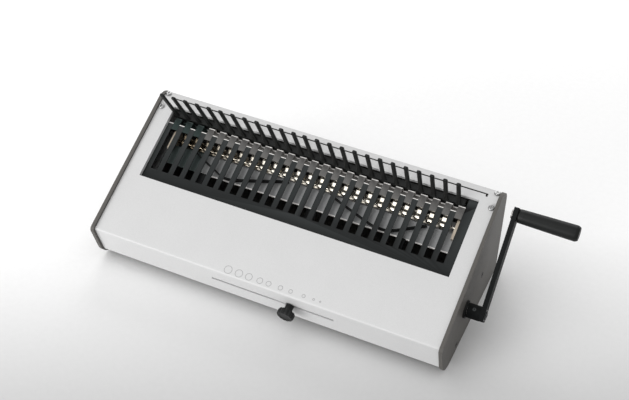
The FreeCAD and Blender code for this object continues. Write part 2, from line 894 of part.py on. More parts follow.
def rivet(length):
    head = Part.makeSphere(1.9, Vector(0, 0, -0.9))
    keep = Part.makeBox(6, 6, 3, Vector(-3, -3, 0))
    shank = Part.makeCylinder(RIVET_RADIUS, length, Vector(0, 0, -length))
    return head.common(keep).fuse(shank).removeSplitter()


def make_deck_fasteners():
    seat = 0.02
    deck = DECK_WIDE.value
    side_screw = screw(2.8, 1.8, SCREW_RADIUS, 5.0)
    side_rivet = rivet(3.4)
    groups = (
        ("plate_screws", PLATE_SCREWS, deck - T.value, side_screw),
        ("rail_screws", RAIL_SCREWS, deck - 2.0, side_screw),
        ("guide_rivets", GUIDE_RIVETS, deck - T.value, side_rivet),
    )
    for name, places, seat_x, fastener in groups:
        loose = []
        for side in SIDES.values():
            turn = LEFTWARDS if side > 0 else RIGHTWARDS
            for place in places:
                position = Vector((seat_x - seat) * side, *place)
                loose.append(placed(fastener, position, turn))
        group(name, loose, SLOPE)
    comb_screw = screw(3.0, 1.9, SCREW_RADIUS, 9.5)
    upright = [
        placed(comb_screw, Vector(x, COMB_SCREW_S.value, RAIL_TOP - 2.0 - seat), DOWNWARDS)
        for x in COMB_SCREW_X
    ]
    group("comb_screws", upright, SLOPE)


# ---------------------------------------------------------------- carriage

SHEET_TOP = -D["carriage_depth"]
LEDGE_TOP = SHEET_TOP - 10
CARRIAGE_WIDE = WEB_IN - 15
SHOE_IN = D["first_slot"] * -1 - 5.5
SHOE_THICK = 5.0
ROD = (D["hook_front"] + D["rod_radius"], -D["hook_top"] - 1.5 - D["rod_radius"])
HOOK_RIVETS = (-150.0, -93.0, -36.0, 22.0, 79.0, 136.0)
HOOK_BASE_S = D["hook_front"] + 3.0


def make_carriage_plate():
    body = new_body("carriage_plate", SLOPE)
    front = D["carriage_front"]
    back = D["carriage_back"]
    ledge = D["hook_back"]
    sketch = new_sketch(body, "YZ_Plane", lift=-CARRIAGE_WIDE)
    add_outline(
        sketch,
        [
            (front, SHEET_TOP),
            (back, SHEET_TOP),
            (back, LEDGE_TOP),
            (ledge, LEDGE_TOP),
            (ledge, LEDGE_TOP - T),
            (back - T, LEDGE_TOP - T),
            (back - T, SHEET_TOP - T),
            (front, SHEET_TOP - T),
        ],
    )
    pad(body, sketch, CARRIAGE_WIDE * 2)
    places = [(x, HOOK_BASE_S) for x in HOOK_RIVETS]
    holes(body, "XY_Plane", places, RIVET_HOLE, LEDGE_TOP - T, T)


def make_hook_strip():
    """One bright strip with a hook for every ring of the binding comb."""
    body = new_body("hook_strip", SLOPE)
    back = D["hook_back"] - 0.2
    front = D["hook_front"] - 1.6
    thick = 1.2
    first = D["first_slot"] + SLOT_STEP - D["hook_width"] / 2
    base = new_sketch(body, "YZ_Plane", lift=first - 4)
    base_front = D["hook_front"] + 0.6
    add_rectangle(base, base_front, back, LEDGE_TOP, LEDGE_TOP + thick)
    pad(body, base, SLOT_STEP * (D["hook_count"] - 1) + D["hook_width"] + 8)
    top = -D["hook_top"]
    hook = new_sketch(body, "YZ_Plane", lift=first)
    add_outline(
        hook,
        [
            (back, LEDGE_TOP + thick / 2),
            (back, top),
            (front, top),
            (front, top - 3),
            (front + thick, top - 3),
            (front + thick, top - thick),
            (back - thick, top - thick),
            (back - thick, LEDGE_TOP + thick / 2),
        ],
    )
    one = pad(body, hook, D["hook_width"])
    corners = x_edge_at((back, top), (front, top))
    rounded = dress(body, "Fillet", one, corners, 1.1)
    row = body.newObject("PartDesign::LinearPattern", "hook_strip_row")
    row.Originals = [one, rounded]
    row.Direction = (hook, ["N_Axis"])
    row.Mode = "Spacing"
    row.setExpression("Offset", words(SLOT_STEP))
    row.setExpression("Occurrences", words(D["hook_count"]))
    body.Tip = row
    doc.recompute()
    places = [(x, HOOK_BASE_S) for x in HOOK_RIVETS]
    holes(body, "XY_Plane", places, RIVET_HOLE, LEDGE_TOP, thick)


def make_hook_rod():
    length = SHOE_IN + SHOE_THICK - 0.5
    body = new_body("hook_rod", SLOPE)
    sketch = new_sketch(body, "YZ_Plane", lift=-length)
    add_circle(sketch, ROD, D["rod_radius"])
    pad(body, sketch, length * 2)


def make_slide_shoe(name, side):
    """A block on each end of the carriage that holds the rod, laps the sheet and runs in the guide."""
    body = new_body(f"{name}_slide_shoe", SLOPE)
    front = D["carriage_back"] + 0.3
    back = D["hook_back"] + 0.8
    tip = front - 8.0
    above_sheet = SHEET_TOP + 0.2
    start = start_of(side, SHOE_IN, SHOE_IN + SHOE_THICK)
    sketch = new_sketch(body, "YZ_Plane", lift=start)
    add_outline(
        sketch,
        [
            (front, LEDGE_TOP),
            (back, LEDGE_TOP),
            (back, -12.0),
            (back - 4, -9.0),
            (tip + 1.5, -9.0),
            (tip, -10.5),
            (tip, above_sheet),
            (front, above_sheet),
        ],
    )
    pad(body, sketch, SHOE_THICK)
    tongue_reach = SHOE_IN + 14.5
    tongue = new_sketch(body, "YZ_Plane", lift=start_of(side, SHOE_IN, tongue_reach))
    add_rectangle(tongue, front + 1, back - 1, LEDGE_TOP, LEDGE_TOP + 3)
    pad(body, tongue, tongue_reach - SHOE_IN)
    holes(body, "YZ_Plane", [ROD], D["rod_radius"] + 0.03, start, SHOE_THICK)


def make_vee_spring(name, left, apex, right, flat):
    """A thin leaf bent to a wide V, flat for a little at its apex, on edge on the carriage sheet."""
    body = new_body(f"{name}_vee_spring", SLOPE)
    front = D["carriage_front"] + 1
    back = D["carriage_back"] - 1
    leaf = 1.2
    sketch = new_sketch(body, "XY_Plane", lift=SHEET_TOP)
    add_outline(
        sketch,
        [
            (left, back),
            (left, back - leaf),
            (apex - flat, front),
            (apex + flat, front),
            (right, back - leaf),
            (right, back),
            (apex + flat, front + leaf),
            (apex - flat, front + leaf),
        ],
    )
    pad(body, sketch, D["vee_height"])


# Involute rack and pinion; the flanks stand back a little so that the teeth run free.
MODULE = D["gear_module"]
PITCH_RADIUS = MODULE * D["gear_teeth"] / 2
TOOTH_PITCH = MODULE * math.pi
PRESSURE_ANGLE = 20.0
ADDENDUM = MODULE * 0.95
DEDENDUM = MODULE * 1.25
FREEPLAY = 0.09
RACK_LINE = SHAFT_N + PITCH_RADIUS


def make_rack(name, side):
    body = new_body(f"{name}_rack", SLOPE)
    lean = math.tan(math.radians(PRESSURE_ANGLE))
    root = RACK_LINE + DEDENDUM
    under_sheet = SHEET_TOP - T
    front = SHAFT_S - 16
    step = D["carriage_front"] - 0.3
    back = D["carriage_back"] - T - 0.4
    start = D["rack_x"] * side - D["gear_width"] / 2
    bar = new_sketch(body, "YZ_Plane", lift=start)
    add_outline(
        bar,
        [
            (front, root),
            (back, root),
            (back, under_sheet),
            (step, under_sheet),
            (step, under_sheet + 5),
            (front, under_sheet + 5),
        ],
    )
    pad(body, bar, D["gear_width"])
    tooth = new_sketch(body, "YZ_Plane", lift=start)
    first = SHAFT_S - TOOTH_PITCH * 2.5
    half = TOOTH_PITCH / 4 - FREEPLAY
    add_outline(
        tooth,
        [
            (first - half - DEDENDUM * lean, root + 0.01),
            (first + half + DEDENDUM * lean, root + 0.01),
            (first + half - ADDENDUM * lean, RACK_LINE - ADDENDUM),
            (first - half + ADDENDUM * lean, RACK_LINE - ADDENDUM),
        ],
    )
    one = pad(body, tooth, D["gear_width"])
    repeat(body, one, tooth, "H_Axis", TOOTH_PITCH, 13)


def make_stop_finger():
    """A bent strip under the carriage sheet that meets the size slider's ramp."""
    under_sheet = SHEET_TOP - T
    leg = SHAFT_S - 8.5
    outline = [
        (leg - T, under_sheet - CLEAR),
        (D["carriage_back"] - T - 1, under_sheet - CLEAR),
        (D["carriage_back"] - T - 1, under_sheet - CLEAR - T),
        (leg, under_sheet - CLEAR - T),
        (leg, under_sheet - 17),
        (leg - T, under_sheet - 17),
    ]
    slab("stop_finger", SLOPE, "YZ_Plane", outline, 8.0, 12.0)


def make_hook_rivets():
    length = T.value - 0.1
    fixing = rivet(length + 1.2)
    loose = [
        placed(fixing, Vector(x, HOOK_BASE_S.value, (LEDGE_TOP + 1.22).value))
        for x in HOOK_RIVETS
    ]
    group("hook_rivets", loose, SLOPE)


# ---------------------------------------------------------------- drive

BORE = D["shaft_diameter"] / 2 + 0.03
FLANGE_RADIUS = 10.5
CLIP_GAP = 0.1
CLIP_THICK = 1.0
HUB_START = CHEEK_OUT + 3.0
ARM_START = CHEEK_OUT + D["arm_gap"]
ARM_END = ARM_START + D["arm_thickness"]
CLIP_X = WEB_IN - 2.0 - CLIP_GAP - CLIP_THICK


def turned(name, frame, centre, steps):
    """Round piece along x: steps are (start, length, radius)."""
    body = new_body(name, frame)
    for start, length, radius in steps:
        sketch = new_sketch(body, "YZ_Plane", lift=start)
        add_circle(sketch, centre, radius)
        pad(body, sketch, length)
    return body


def make_crank_shaft():
    radius = D["shaft_diameter"] / 2
    start = -WEB_OUT - 4
    body = turned("crank_shaft", MACHINE, SHAFT, [(start, ARM_END - start, radius)])
    for side in SIDES.values():
        groove = new_sketch(body, "YZ_Plane", lift=start_of(side, CLIP_X, CLIP_X + CLIP_THICK))
        add_circle(groove, SHAFT, radius + 1)
        add_circle(groove, SHAFT, radius - 0.5)
        pocket(body, groove, CLIP_THICK, backwards=True)
    holes(body, "YZ_Plane", [SHAFT], END_SCREW_RADIUS + 0.05, ARM_END - 12, 12)


END_SCREW_RADIUS = 2.0


def make_bushes():
    collar = 2.0
    left = turned(
        "left_bush",
        MACHINE,
        SHAFT,
        [(-WEB_OUT - 3, 3 + D["web_thickness"], BUSH_RADIUS), (-WEB_IN, collar, FLANGE_RADIUS)],
    )
    holes(left, "YZ_Plane", [SHAFT], BORE, -WEB_OUT - 3, 10)
    right = turned(
        "right_bush",
        MACHINE,
        SHAFT,
        [
            (WEB_IN - collar, collar, FLANGE_RADIUS),
            (WEB_IN, CHEEK_OUT - WEB_IN, BUSH_RADIUS),
        ],
    )
    holes(right, "YZ_Plane", [SHAFT], BORE, WEB_IN - collar, 30)
    ring = turned("bush_ring", MACHINE, SHAFT, [(CHEEK_OUT, 2.5, 9.8)])
    holes(ring, "YZ_Plane", [SHAFT], BORE, CHEEK_OUT, 3)


def make_circlips():
    loose = []
    for side in SIDES.values():
        start = number(start_of(side, CLIP_X, CLIP_X + CLIP_THICK)) + 0.02
        origin = Vector(start, *[number(v) for v in SHAFT])
        thick = CLIP_THICK - 0.04
        ring = Part.makeCylinder(8.0, thick, origin, X_AXIS)
        ring = ring.cut(Part.makeCylinder(5.55, thick, origin, X_AXIS))
        mouth = Part.makeBox(thick, 4.0, 9.0, origin + Vector(0, -2.0, -9.0))
        loose.append(ring.cut(mouth))
    group("shaft_circlips", loose, MACHINE)


def involute_tooth():
    """Half thickness of the pinion tooth at a few radii, from base to tip."""
    pitch_radius = PITCH_RADIUS.value
    pressure = math.radians(PRESSURE_ANGLE)
    base = pitch_radius * math.cos(pressure)
    tip = pitch_radius + ADDENDUM.value
    root = pitch_radius - DEDENDUM.value
    half_angle = (TOOTH_PITCH.value / 4 - FREEPLAY) / pitch_radius
    spread = math.tan(pressure) - pressure
    points = [(root, half_angle + spread)]
    steps = 5
    for step in range(steps + 1):
        radius = base + (tip - base) * step / steps
        roll = math.acos(min(1.0, base / radius))
        points.append((radius, half_angle + spread - (math.tan(roll) - roll)))
    return points


def make_pinion(name, side):
    teeth = int(D["gear_teeth"].value)
    width = D["gear_width"].value
    flank = involute_tooth()
    corners = []
    for tooth in range(teeth):
        middle = 2 * math.pi * tooth / teeth
        around = [(radius, middle - half) for radius, half in flank]
        around += [(radius, middle + half) for radius, half in reversed(flank)]
        for radius, angle in around:
            corners.append(Vector(0, -radius * math.sin(angle), radius * math.cos(angle)))
    wire = Part.makePolygon(corners + corners[:1])
    gear = Part.Face(wire).extrude(Vector(width, 0, 0))
    hub_start = width if side < 0 else -HUB_LENGTH
    hub = Part.makeCylinder(10.0, HUB_LENGTH, Vector(hub_start, 0, 0), X_AXIS)
    bore = Part.makeCylinder(BORE.value, width + 40, Vector(-20, 0, 0), X_AXIS)
    hole = Part.makeCylinder(SET_SCREW_RADIUS + 0.03, 12, Vector(hub_start + HUB_LENGTH / 2, 0, 0))
    blank = gear.fuse(hub).cut(bore).cut(hole)
    item = doc.addObject("Part::Feature", f"{name}_pinion")
    item.Label = f"{name}_pinion"
    item.Shape = blank.removeSplitter()
    start = D["rack_x"].value * side - width / 2
    item.Placement = SLOPE.multiply(
        Placement(Vector(start, SHAFT_S.value, SHAFT_N.value), Rotation())
    )
    subparts.append(item)


HUB_LENGTH = 7.0
SET_SCREW_RADIUS = 1.9


def make_set_screws():
    """One headless screw in each pinion hub and one in the arm's hub."""
    stand_off = BORE.value + 0.15
    socket_depth = 0.9
    loose = []
    half_width = D["gear_width"].value / 2 + HUB_LENGTH / 2
    places = [((D["rack_x"].value - half_width) * side, 3.2) for side in SIDES.values()]
    places.append((number(HUB_START) + 7.0, 1.6))
    for x, length in places:
        peg = Part.makeCylinder(SET_SCREW_RADIUS, length, Vector(x, 0, stand_off))
        bottom = Vector(x, 0, stand_off + length - socket_depth)
        socket = Part.makeCylinder(0.9, socket_depth, bottom)
        loose.append(peg.cut(socket))
    frame = SLOPE.multiply(Placement(Vector(0, SHAFT_S.value, SHAFT_N.value), Rotation()))
    group("set_screws", loose, frame)


CRANK = MACHINE.multiply(
    Placement(
        Vector(0, *[number(v) for v in SHAFT]), Rotation(X_AXIS, D["crank_angle"].value)
    )
)


def make_arm_hub():
    centre = (Dim(0, "0"), Dim(0, "0"))
    body = turned("arm_hub", CRANK, centre, [(HUB_START, ARM_START - HUB_START, 8.0)])
    outer = number(ARM_START)
    holes(body, "YZ_Plane", [centre], BORE, HUB_START, ARM_START - HUB_START)
    screw_hole = new_sketch(body, "XY_Plane", turn=D["slope_angle"] - D["crank_angle"])
    add_circle(screw_hole, (HUB_START + 7.0, 0), SET_SCREW_RADIUS + 0.03)
    pocket(body, screw_hole, outer, backwards=True)


def make_crank_arm():
    half = D["arm_width"] / 2
    length = D["crank_length"]
    beyond = 7.5
    body = new_body("crank_arm", CRANK)
    sketch = new_sketch(body, "YZ_Plane", lift=ARM_START)
    add_rectangle(sketch, -beyond, length + beyond, -half, half)
    bar = pad(body, sketch, D["arm_thickness"])
    corners = [(y, z) for y in (-beyond, length + beyond) for z in (-half, half)]
    dress(body, "Fillet", bar, x_edge_at(*corners), 1.6)
    centre = (Dim(0, "0"), Dim(0, "0"))
    holes(body, "YZ_Plane", [centre], BORE, ARM_START, D["arm_thickness"])
    axle_hole = D["axle_diameter"] / 2 + 0.03
    holes(body, "YZ_Plane", [(length, 0)], axle_hole, ARM_START, D["arm_thickness"])


def make_crank_end():
    seat = ARM_END.value + 0.02
    head = screw(5.0, 1.2, END_SCREW_RADIUS, 11.0)
    group("crank_end_screw", [placed(head, Vector(seat, 0, 0), RIGHTWARDS)], CRANK)


GRIP_GAP = 0.5
GRIP_RECESS = 6.0
GRIP_BORE_CLEARANCE = 0.1


def make_grip_axle():
    place = (D["crank_length"], Dim(0, "0"))
    radius = D["axle_diameter"] / 2
    end = ARM_END + GRIP_GAP + D["grip_length"] - GRIP_RECESS + 3.0
    steps = [(ARM_START - 1.8, Dim(1.8, "1.8"), radius + 2), (ARM_START, end - ARM_START, radius)]
    turned("grip_axle", CRANK, place, steps)
    nut_start = (ARM_END + GRIP_GAP + D["grip_length"] - GRIP_RECESS + 0.1).value
    corner = 4.2
    centre = Vector(nut_start, D["crank_length"].value, 0)
    ring = [
        centre + Vector(0, corner * math.cos(turn), corner * math.sin(turn))
        for turn in (math.radians(60 * k) for k in range(6))
    ]
    prism = Part.Face(Part.makePolygon(ring + ring[:1])).extrude(Vector(2.4, 0, 0))
    bore = Part.makeCylinder(radius.value + 0.03, 4, centre - Vector(1, 0, 0), X_AXIS)
    group("grip_nut", [prism.cut(bore)], CRANK)


GRIP = CRANK.multiply(
    Placement(
        Vector(number(ARM_END) + GRIP_GAP, D["crank_length"].value, 0), Rotation()
    )
)


def make_grip():
    """A tapered sleeve, slightly thicker and bevelled at its outer end."""
    body = new_body("grip", GRIP)
    length = D["grip_length"]
    outer = D["grip_diameter"] / 2
    bore = D["axle_diameter"] / 2 + GRIP_BORE_CLEARANCE
    recess = 4.6
    sketch = new_sketch(body, "XY_Plane")
    add_outline(
        sketch,
        [
            (0, bore),
            (0, outer - 1.8),
            (0.8, outer - 1.0),
            (length - 4, outer),
            (length, outer - 1.8),
            (length, recess),
            (length - GRIP_RECESS, recess),
            (length - GRIP_RECESS, bore),
        ],
    )
    feature = body.newObject("PartDesign::Revolution", "grip_turning")
    feature.Profile = sketch
    feature.ReferenceAxis = (sketch, ["H_Axis"])
    feature.Angle = 360
    doc.recompute()
    centre = (Dim(0, "0"), Dim(0, "0"))
    steps = [(length - 2.0, Dim(1.8, "1.8"), recess - 0.03)]
    turned("grip_cap", GRIP, centre, steps)


# ---------------------------------------------------------------- size setting

STUD_RADIUS = 1.6
WASHER = 0.8
KNOB_Y = -D["knob_slit_drop"]
HUB_HEIGHT = 7.0


def make_size_setting():
    behind = -T - 0.15
    plate = T
    body = new_body("size_slider", FACE)
    reach = 20.0
    half_height = 9.5
    face = new_sketch(body, "XY_Plane", lift=behind - plate)
    left = D["knob_x"] - reach
    right = D["knob_x"] + reach
    low = KNOB_Y - half_height
    add_rectangle(face, left, right, low, KNOB_Y + half_height)
    pad(body, face, plate)
    ramp = new_sketch(body, "XZ_Plane", lift=-low - plate)
    inside = behind - plate / 2
    add_outline(ramp, [(left, inside), (right, inside), (right, -12.0), (left, -24.0)])
    pad(body, ramp, plate)
    knob_place = (D["knob_x"], KNOB_Y)
    holes(body, "XY_Plane", [knob_place], STUD_RADIUS + 0.03, behind - plate, plate)

    stud = new_body("knob_stud", FACE)
    rod = new_sketch(stud, "XY_Plane", lift=behind - plate - 2)
    add_circle(rod, knob_place, STUD_RADIUS)
    pad(stud, rod, 16.0)
    head = new_sketch(stud, "XY_Plane", lift=behind - plate - 2)
    add_circle(head, knob_place, STUD_RADIUS + 1.6)
    pad(stud, head, 1.9)

    washer = new_body("knob_washer", FACE)
    disc = new_sketch(washer, "XY_Plane", lift=0.1)
    add_circle(disc, knob_place, 5.5)
    add_circle(disc, knob_place, STUD_RADIUS + 0.05)
    pad(washer, disc, WASHER)


def make_size_knob():
    """A knob with a scalloped rim on a narrow hub."""
    body = new_body("size_knob", FACE)
    base = 0.1 + WASHER + 0.1
    place = (D["knob_x"], KNOB_Y)
    hub = new_sketch(body, "XY_Plane", lift=base)
    add_circle(hub, place, 4.5)
    pad(body, hub, HUB_HEIGHT)
    rim = new_sketch(body, "XY_Plane", lift=base + HUB_HEIGHT)
    radius = D["knob_diameter"] / 2
    add_circle(rim, place, radius)
    disc = pad(body, rim, D["knob_height"])
    top = base + HUB_HEIGHT + D["knob_height"].value
    dress(
        body,
        "Fillet",
        disc,
        lambda edge: abs(edge.CenterOfMass.z - top) < 1e-3,
        1.2,
    )
    scallop = new_sketch(body, "XY_Plane", lift=base + HUB_HEIGHT)
    add_circle(scallop, (D["knob_x"], KNOB_Y + radius + 1.6), 2.6)
    cut = pocket(body, scallop, D["knob_height"] + 1, backwards=True)
    pattern = body.newObject("PartDesign::PolarPattern", "knob_scallops")
    pattern.Originals = [cut]
    pattern.Axis = (hub, ["N_Axis"])
    pattern.Angle = 360
    pattern.Occurrences = 12
    body.Tip = pattern
    doc.recompute()
    holes(body, "XY_Plane", [place], STUD_RADIUS + 0.05, base, 12.0)


# ---------------------------------------------------------------- assembly

make_top_cover()
make_base_tray()
for side_name, side_sign in SIDES.items():
    make_cheek(side_name, side_sign)
    make_inner_frame(side_name, side_sign)
    make_guide(side_name, side_sign)
    make_slide_shoe(side_name, side_sign)
    make_rack(side_name, side_sign)
    make_pinion(side_name, side_sign)
make_housing_fasteners()
make_feet()
make_slot_plate()
make_finger_strip()
make_comb_rail()
make_rear_combs()
make_deck_fasteners()
make_carriage_plate()
make_hook_strip()
make_hook_rod()
make_hook_rivets()
make_vee_spring("left", -139.0, -91.0, -23.0, 5.0)
make_vee_spring("right", 28.0, 94.5, 140.0, 9.0)
make_stop_finger()
make_crank_shaft()
make_bushes()
make_circlips()
make_set_screws()
make_arm_hub()
make_crank_arm()
make_crank_end()
make_grip_axle()
make_grip()
make_size_setting()
make_size_knob()
doc.recompute()

for item in doc.Objects:
    if "Invalid" in item.State or "Error" in item.State:
        raise RuntimeError(f"{item.Label} failed: {item.State}")
os.makedirs("parts", exist_ok=True)
whole = FreeCAD.BoundBox()
for item in subparts:
    if item.Shape.isNull() or not item.Shape.isValid():
        raise RuntimeError(f"{item.Label} has no valid shape")
    whole.add(item.Shape.BoundBox)
    item.Shape.exportStep(f"parts/{item.Label}.step")
print(f"{len(subparts)} sub-parts")
print(f"x {whole.XMin:.2f} to {whole.XMax:.2f}")
print(f"y {whole.YMin:.2f} to {whole.YMax:.2f}")
print(f"z {whole.ZMin:.2f} to {whole.ZMax:.2f}")
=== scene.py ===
import json
import math

import bmesh
import bpy
from mathutils import Matrix, Vector


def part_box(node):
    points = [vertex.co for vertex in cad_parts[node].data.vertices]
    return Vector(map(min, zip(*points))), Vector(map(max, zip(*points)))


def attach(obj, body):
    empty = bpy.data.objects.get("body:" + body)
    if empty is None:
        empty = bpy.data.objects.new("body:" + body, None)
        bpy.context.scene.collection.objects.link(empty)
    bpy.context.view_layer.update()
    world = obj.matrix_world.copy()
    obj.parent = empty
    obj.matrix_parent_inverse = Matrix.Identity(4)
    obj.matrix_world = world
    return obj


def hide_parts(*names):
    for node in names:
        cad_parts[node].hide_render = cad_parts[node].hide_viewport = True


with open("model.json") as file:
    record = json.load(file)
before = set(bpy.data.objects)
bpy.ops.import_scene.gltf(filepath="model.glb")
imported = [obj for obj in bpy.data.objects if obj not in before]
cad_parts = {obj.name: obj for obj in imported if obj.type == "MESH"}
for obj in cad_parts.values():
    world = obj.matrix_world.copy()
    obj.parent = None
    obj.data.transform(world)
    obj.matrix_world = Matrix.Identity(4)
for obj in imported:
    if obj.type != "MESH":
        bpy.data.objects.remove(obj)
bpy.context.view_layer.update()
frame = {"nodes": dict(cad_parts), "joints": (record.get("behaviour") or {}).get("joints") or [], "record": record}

MM = 0.001
scene = bpy.context.scene
joints = {joint["name"]: joint for joint in frame["joints"]}

# ---------------------------------------------------------------- places taken from the frame

# The carriage slides down the slope; the front fold lies a known step from the crank's axis.
slide = Vector(joints["carriage_slide"]["axis"])
SLOPE = math.atan2(-slide.z, -slide.y)
MIDDLE_X = (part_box("left_cheek")[0][0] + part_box("right_cheek")[1][0]) / 2
CRANK_AXIS = Vector(joints["crank_turn"]["pos_m"])
FOLD_FROM_CRANK = (-69 * MM, 7 * MM)
FOLD = Vector((MIDDLE_X, CRANK_AXIS.y + FOLD_FROM_CRANK[0], CRANK_AXIS.z + FOLD_FROM_CRANK[1]))
FACE_OUT = Vector(joints["knob_turn"]["axis"])

# The plastic comb standard, and where the rows of the deck stand (millimetres from the middle).
PITCH = 14.2875
FIRST_SLOT = -174.3
LAST_BAR_END = 169.0
# The next two are where the painted shade at the left of the tabs and of the carriage sheet ends.
PAINTED_SHADE_TABS_END = -138.5
PAINTED_SHADE_SHEET_END = -124.0

# Rows given a painted highlight, as distances up the slope from the fold (millimetres).
SHEET_FRONT_ROW = (105.6, 107.2)
BAR_END_ROW = (150.1, 151.4)
TAB_END_ROW = (157.3, 159.2)

VIEW_AZIMUTH = math.radians(24.35)
VIEW_ELEVATION = math.radians(43.01)
VIEW_ROLL = math.radians(0.66)

# A millimetre frame on the deck: x to the right, y up the slope, z out of the deck.
DECK_FRAME = Matrix.Translation(FOLD) @ Matrix.Rotation(SLOPE, 4, "X") @ Matrix.Scale(MM, 4)


def frame_on(origin, out):
    """A millimetre frame at origin whose z runs along out and whose x is the machine's x."""
    z = out.normalized()
    x = Vector((1, 0, 0))
    y = z.cross(x)
    turn = Matrix((x, y, z)).transposed().to_4x4()
    return Matrix.Translation(origin) @ turn @ Matrix.Scale(MM, 4)


# ---------------------------------------------------------------- mesh helpers


def new_piece(name, bm, body, place):
    """Turn a bmesh in the frame place into a smooth piece that rides on a body."""
    bmesh.ops.recalc_face_normals(bm, faces=bm.faces)
    mesh = bpy.data.meshes.new(name)
    bm.to_mesh(mesh)
    bm.free()
    mesh.transform(place)
    piece = bpy.data.objects.new(name, mesh)
    scene.collection.objects.link(piece)
    for face in mesh.polygons:
        face.use_smooth = True
    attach(piece, body)
    return piece


def bridge(bm, loops):
    """Faces between each closed loop of vertices and the next."""
    count = len(loops[0])
    for lower, upper in zip(loops, loops[1:]):
        for index in range(count):
            after = (index + 1) % count
            bm.faces.new((lower[index], lower[after], upper[after], upper[index]))


def loft(bm, rings):
    """Join closed rings of equal length into a tube and cap both ends."""
    loops = [[bm.verts.new(point) for point in ring] for ring in rings]
    bridge(bm, loops)
    bm.faces.new(list(reversed(loops[0])))
    bm.faces.new(loops[-1])


def hoop(bm, rings):
    """Join closed rings of equal length into a tube whose last ring meets its first."""
    loops = [[bm.verts.new(point) for point in ring] for ring in rings]
    bridge(bm, loops + [loops[0]])


def oval(centre, half_x, half_y, power):
    """A ring in the xy plane, between an ellipse (power 2) and a rectangle (high power)."""
    count = 20
    ring = []
    for index in range(count):
        turn = 2 * math.pi * (index + 0.5) / count
        cos, sin = math.cos(turn), math.sin(turn)
        reach = (abs(cos) ** power + abs(sin) ** power) ** (-1 / power)
        ring.append(centre + Vector((half_x * reach * cos, half_y * reach * sin, 0)))
    return ring


def turned(profile, count, ripple):
    """Rings of (height, radius) points turned about z; ripple(turn, height) scales the radius."""
    rings = []
    for height, radius in profile:
        ring = []
        for index in range(count):
            turn = 2 * math.pi * index / count
            reach = radius * ripple(turn, height)
            ring.append(Vector((reach * math.cos(turn), reach * math.sin(turn), height)))
        rings.append(ring)
    return rings


def arc(centre, radius, start, end, steps):
    """Points of an arc in a side view, angles in degrees."""
    points = []
    for step in range(steps + 1):
        turn = math.radians(start + (end - start) * step / steps)
        points.append((centre[0] + radius * math.cos(turn), centre[1] + radius * math.sin(turn)))
    return points


def bent_strip(bm, path, width, thick, x):
    """A strip of sheet bent along a side-view path, its outer face on the path."""
    outer = [Vector((x, along, out)) for along, out in path]
    inner = []
    for index, point in enumerate(outer):
        before = outer[max(index - 1, 0)]
        after = outer[min(index + 1, len(outer) - 1)]
        heading = (after - before).normalized()
        inner.append(point + Vector((0, heading.z, -heading.y)) * thick)
    half = Vector((width / 2, 0, 0))
    rings = []
    for a, b in zip(outer, inner):
        rings.append([a - half, a + half, b + half, b - half])
    loft(bm, rings)


def bevel(piece, width_mm):
    """Soften the sharp edges so that they catch the light."""
    modifier = piece.modifiers.new("soft_edges", "BEVEL")
    modifier.width = width_mm * MM
    modifier.segments = 2
    modifier.limit_method = "ANGLE"
    modifier.angle_limit = math.radians(35)
    modifier.harden_normals = False
    modifier.use_clamp_overlap = True


def smooth_by_angle(piece):
    """Shade smooth, with the edges of more than 32 degrees left sharp."""
    for face in piece.data.polygons:
        face.use_smooth = True
    piece.data.set_sharp_from_angle(angle=math.radians(32))


# ---------------------------------------------------------------- materials

COOL = (0.985, 0.995, 1.0)
WARM = (1.0, 0.975, 0.945)
PLAIN = (1.0, 1.0, 1.0)


